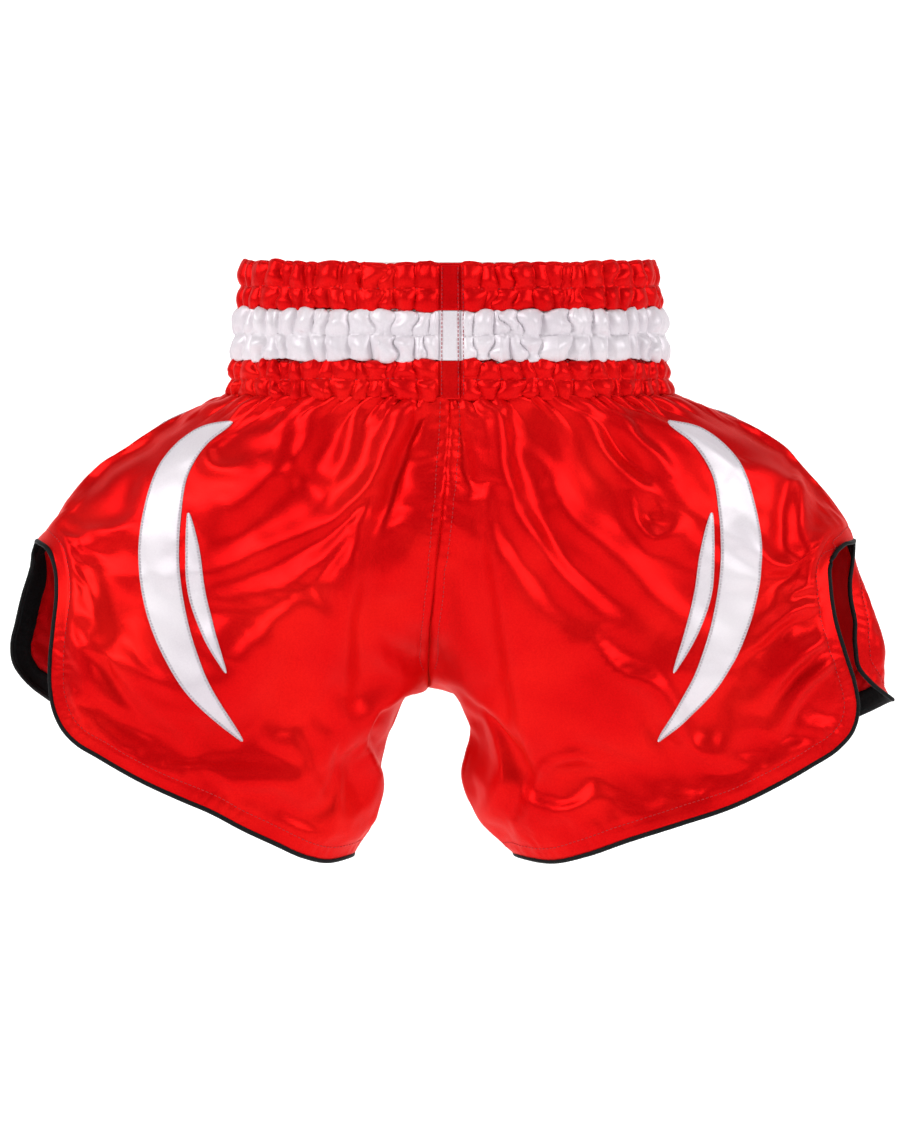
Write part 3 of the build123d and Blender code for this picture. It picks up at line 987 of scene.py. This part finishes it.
def puffs(place, edges, seed, v):
    """Height of the cloth puffed between creases, at one share v of the way down a channel."""
    draw = np.random.default_rng(seed)
    n = len(edges)
    inside = (np.arange(n) > 0) & (np.arange(n) < n - 1)
    edges = edges + (draw.normal(0, 1.6, n) + draw.normal(0, 2.6, n) * (v - 0.5)
                     + draw.normal(0, 1.1, n) * math.sin(2 * math.pi * v)) * inside
    edges = np.maximum.accumulate(edges + np.arange(n) * 1e-3)
    k = np.clip(np.searchsorted(edges, place) - 1, 0, n - 2)
    width = np.maximum(edges[k + 1] - edges[k], 1.0)
    share = np.clip((place - edges[k]) / width, 0, 1)
    full = draw.uniform(0.65, 1.2, n)[k] * np.clip(width / 12.0, 0.45, 1.15)
    lean = draw.uniform(0.7, 1.4, n)[k]
    height = np.sin(math.pi * share**lean) ** 0.6 * full
    # narrow folds that run from one row of stitching into the puff
    for _ in range(2 * n):
        centre = draw.uniform(0, GIRTH)
        reach, up = draw.uniform(0.25, 0.8), draw.random() < 0.5
        wide, tall = draw.uniform(0.8, 1.9), draw.uniform(-0.30, 0.34)
        slant = draw.normal(0, 3.0)
        depth = (v if up else 1 - v) / reach
        if depth < 1.3:
            near = np.abs(place - centre - slant * (v - 0.5)) < 6
            off = place[near] - centre - slant * (v - 0.5)
            height[near] += tall * math.exp(-(depth**2) * 1.5) * bell(off, wide)
    return height


def waver(place, channel):
    """How the rows of stitching waver round the band, between -1 and 1."""
    return np.sin(place / 8.3 + channel * 1.7)


def strip_grid(name, depth):
    """A gathered strip of the band, as rows of points all round it."""
    first, last = STRIPS[name]
    rows_z, rows_out = [], []
    for channel in range(first, last):
        top, bottom = CHANNEL_EDGES[channel], CHANNEL_EDGES[channel + 1]
        steps = np.linspace(0, 1, CHANNEL_STEPS + 1)
        if channel > first:
            steps = steps[1:]
        for v in steps:
            body = puffs(band_at, strip_creases[name], 70 + channel, v)
            small = 0.5 + 0.5 * np.sin(band_at / 0.8 + 2.5 * np.sin(band_at / 19.0 + channel))
            bulge = 0.32 + 0.68 * math.sin(math.pi * v) ** 0.75
            end = bell(min(v, 1 - v), 0.14)
            flat = smooth_step((np.minimum(band_at, GIRTH - band_at) - JOIN_HALF) / 3.5)
            out = (0.6 + depth * bulge * body + 0.4 * end * small) * flat + 0.9 * (1 - flat)
            sag = 2.2 * (body - 0.6) * (bell(v, 0.3) * (channel == first)
                                        - bell(1 - v, 0.3) * (channel == last - 1) * 0.8)
            wobble = 0.6 * waver(band_at, channel)
            rows_z.append(top + (bottom - top) * v + (sag + wobble * (0.3 + end)) * flat)
            rows_out.append(np.maximum(out, 0.6))
    z = np.array(rows_z)
    angle = np.broadcast_to(band_angle, z.shape)
    return oval(angle, z - front_dip(angle, z), np.array(rows_out)), np.array(rows_out)


def front_dip(angle, z):
    """How far the band sinks at centre front, most at its top edge."""
    return FRONT_DIP * np.clip(np.cos(angle), 0, 1) ** 2 * smooth_step(1 + z / BAND_HEIGHT)


strip_depth = {"waistband_top": 4.5, "waistband_white": 5.6, "waistband_lower": 4.5}
for name in STRIPS:
    cloth = white if name == "waistband_white" else red
    grid, out = strip_grid(name, strip_depth[name])
    inner = oval(np.broadcast_to(band_angle, out.shape), grid[..., 2], np.maximum(out - 0.8, 0.05))
    piece = shell(f"gathered_{name}", grid, inner, [cloth], closed=True)
    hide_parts(name)

# Lining: one ply down the inside, gathered more gently, held in at each row of stitching.
LINING_ROWS = 60
v = np.linspace(0, 1, LINING_ROWS + 1)[:, None]
z = -0.6 - (BAND_HEIGHT - 0.9) * v + 0 * band_at[None]
in_channel = np.interp(-z, -np.array(CHANNEL_EDGES), np.arange(len(CHANNEL_EDGES)))
between = np.abs(np.sin(math.pi * in_channel)) ** 0.6
pleat = puffs(band_at, strip_creases["waistband_top"], 91, 0.5)[None]
fine = np.sin(band_at / 1.3 + 2 * np.sin(band_at / 23.0))[None]
inward = 2.3 + 1.1 * between * pleat + 0.22 * fine
angle = np.broadcast_to(band_angle, z.shape)
dip = front_dip(angle, z)
piece = shell("gathered_lining", oval(angle, z - dip, -inward + 0.35),
              oval(angle, z - dip, -inward - 0.35), [lining_red], closed=True)
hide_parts("waistband_lining")

# Top edge: the fold of the casing over the last elastic, closing the band at the top.
top_grid, top_out = strip_grid("waistband_top", strip_depth["waistband_top"])
roll_rows = []
for part in np.linspace(0, 1, 9):
    lift = 1.5 * math.sin(math.pi * part)
    outward = top_out[0] * (1 - part) + (-2.0) * part
    height = top_grid[0, :, 2] * (1 - part) + (-0.6 - dip[0]) * part + lift
    roll_rows.append(oval(band_angle, height, outward))
roll = np.array(roll_rows)
middle = oval(band_angle, np.full(BAND_STEPS, -6.0), -0.9)
way = roll - middle[None]
way = unit(way)
piece = shell("folded_top_edge", roll + way * 0.35, roll - way * 0.35, [red], closed=True)

# The flat join at centre front, one strip of each colour, with its topstitching.
for name, (first, last) in STRIPS.items():
    top, bottom = CHANNEL_EDGES[first], CHANNEL_EDGES[last]
    across = np.linspace(-JOIN_HALF, JOIN_HALF, 17)
    down = np.linspace(top - 0.2, bottom + 0.1, 25)
    A, D = np.meshgrid(across / BAND_LOW_HALF[0], down)
    bow = (1.5 + 0.35 * np.cos(across / JOIN_HALF * math.pi / 2)[None]
           + 0.18 * np.sin(D / 2.6 + A * 20))
    dip = front_dip(A, D)
    outer, inner = oval(A, D - dip, bow + 0.5), oval(A, D - dip, bow - 0.9)
    node = name.replace("waistband", "join")
    piece = shell(f"flat_{node}", outer, inner, [white if "white" in name else red])
    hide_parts(node)

starts, ends = [], []
for column in (-JOIN_HALF + 0.9, JOIN_HALF - 0.9, JOIN_HALF + 2.6):
    outward = 2.3 if abs(column) < JOIN_HALF else 3.0
    height = np.arange(-1.5, -BAND_HEIGHT + 2, -2.9)
    angle = np.full_like(height, column / BAND_LOW_HALF[0])
    dip = front_dip(0.0, height)
    starts.append(oval(angle, height - dip, outward))
    ends.append(oval(angle, height - 2.2 - dip, outward))
starts, ends = np.vstack(starts), np.vstack(ends)
piece = stitches("join_topstitch", starts, ends, np.broadcast_to([0.0, -1.0, 0.0], starts.shape),
                 0.3, dark_thread)

# Channel stitching round the band, sunk between the puffs.
rows_of_stitching = {"channel_stitching": (1, 2, 4, 5), "white_channel_stitching": (3,)}
first = np.arange(JOIN_HALF + 2, GIRTH - JOIN_HALF - 4, 3.0)
for name, channels in rows_of_stitching.items():
    starts, ends, ups = [], [], []
    for channel in channels:
        for row, place in ((starts, first), (ends, first + 2.1)):
            angle = np.interp(place, ring_length, turn)
            height = CHANNEL_EDGES[channel] + 0.5 * waver(place, channel)
            row.append(oval(angle, height - front_dip(angle, height), 1.3))
        angle = np.interp(first, ring_length, turn)
        ups.append(np.stack([np.sin(angle), -np.cos(angle), 0 * angle], axis=1))
    in_white = name.startswith("white")
    piece = stitches(name, *map(np.vstack, (starts, ends, ups)), 0.3,
                     white_thread if in_white else red_thread)
    if not in_white:
        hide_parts("waistband_stitching")

# Label: blank, sewn to the lining at centre back.
across = np.linspace(-18, 18, 25)
down = np.linspace(-31, -65, 25)
A, D = np.meshgrid(math.pi + across / BAND_LOW_HALF[0], down)
bow = -4.7 - 0.25 * np.cos(A * 9) - 0.2 * np.sin(D / 7)
piece = shell("blank_label", oval(A, D, bow + 0.2), oval(A, D, bow - 0.25), [label_white])
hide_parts("inside_label")

for number in range(1, 7):
    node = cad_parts[f"elastic_{number}"]
    node.data.materials.clear()
    node.data.materials.append(elastic_white)


# ---------------------------------------------------------------- the names of the pieces sewn to each panel

for (face, side), piece in panel_pieces.items():
    tag = f"{FACE_NAMES[face]}_{SIDE_NAMES[side]}"
    sewn = [f"{kind}_{tag}" for kind in ("bias_binding", "facing_tape", "topstitch")]
    for blade in APPLIQUES:
        if FACE_NAMES[face] in blade:
            sewn += [f"satin_{blade}_{SIDE_NAMES[side]}", f"zigzag_{blade}_{SIDE_NAMES[side]}"]
    if side == LEFT:
        sewn.append(f"centre_topstitch_{FACE_NAMES[face]}")


# ---------------------------------------------------------------- camera, floor and lights

bpy.context.scene.view_settings.view_transform = "Standard"
IMAGE_WIDTH_MM = 612.0
CAMERA_FAR = 3.4
CAMERA_TILT = math.radians(1.8)
target = Vector((0, -0.03, -204.4 * MM))
camera_data = bpy.data.cameras.new("camera")
camera_data.sensor_fit = "HORIZONTAL"
camera_data.sensor_width = 36
camera_data.lens = 36 * CAMERA_FAR / (IMAGE_WIDTH_MM * MM)
camera_data.clip_end = 60
camera = bpy.data.objects.new("camera", camera_data)
camera.location = target + Vector((0, -math.cos(CAMERA_TILT), math.sin(CAMERA_TILT))) * CAMERA_FAR
camera.rotation_euler = (target - camera.location).to_track_quat("-Z", "Y").to_euler()
bpy.context.scene.collection.objects.link(camera)
bpy.context.scene.camera = camera

floor_mesh = bpy.data.meshes.new("floor")
FLOOR_Z = -0.62
COVE_Y, COVE_RADIUS = 3.0, 2.0  # where the floor starts to curve up behind the shorts
floor_rows = [(-9, FLOOR_Z), (COVE_Y, FLOOR_Z)]
floor_rows += [(COVE_Y + COVE_RADIUS * math.sin(t), FLOOR_Z + COVE_RADIUS * (1 - math.cos(t)))
               for t in np.linspace(0.1, math.pi / 2, 12)]
floor_rows += [(COVE_Y + COVE_RADIUS, 8.0)]
floor_mesh.from_pydata([(x, y, z) for y, z in floor_rows for x in (-12, 12)], [],
                       [(2 * k, 2 * k + 1, 2 * k + 3, 2 * k + 2)
                        for k in range(len(floor_rows) - 1)])
floor_mesh.polygons.foreach_set("use_smooth", [True] * len(floor_mesh.polygons))
floor = bpy.data.objects.new("floor", floor_mesh)
bpy.context.scene.collection.objects.link(floor)
paper, _, paper_shader = node_material("paper")
paper_shader.inputs["Base Color"].default_value = (0.93, 0.93, 0.93, 1)
paper_shader.inputs["Roughness"].default_value = 0.9
paper_shader.inputs["Emission Color"].default_value = (1, 1, 1, 1)
paper_shader.inputs["Emission Strength"].default_value = 0.4
floor_mesh.materials.append(paper)

world = bpy.data.worlds.new("studio")
bpy.context.scene.world = world
world.use_nodes = True
world.node_tree.nodes["Background"].inputs["Color"].default_value = (1, 1, 1, 1)
world.node_tree.nodes["Background"].inputs["Strength"].default_value = 0.16


def soft_light(name, place, size, power, aim=(0, 0, -0.2)):
    data = bpy.data.lights.new(name, "AREA")
    data.shape = "RECTANGLE"
    data.size, data.size_y = size
    data.energy = power
    light = bpy.data.objects.new(name, data)
    light.location = place
    light.rotation_euler = (Vector(aim) - light.location).to_track_quat("-Z", "Y").to_euler()
    bpy.context.scene.collection.objects.link(light)


soft_light("left", (-2.2, -1.5, 1.3), (0.7, 0.7), 48)
soft_light("right", (2.3, -1.4, 0.9), (0.7, 0.7), 34)
soft_light("top", (0.2, -0.3, 2.6), (1.2, 0.8), 12)
soft_light("backdrop_left", (-2.4, 2.0, 1.2), (1.5, 1.5), 45, aim=(-0.4, 5.0, -0.2))
soft_light("backdrop_right", (2.4, 2.0, 1.2), (1.5, 1.5), 45, aim=(0.4, 5.0, -0.2))
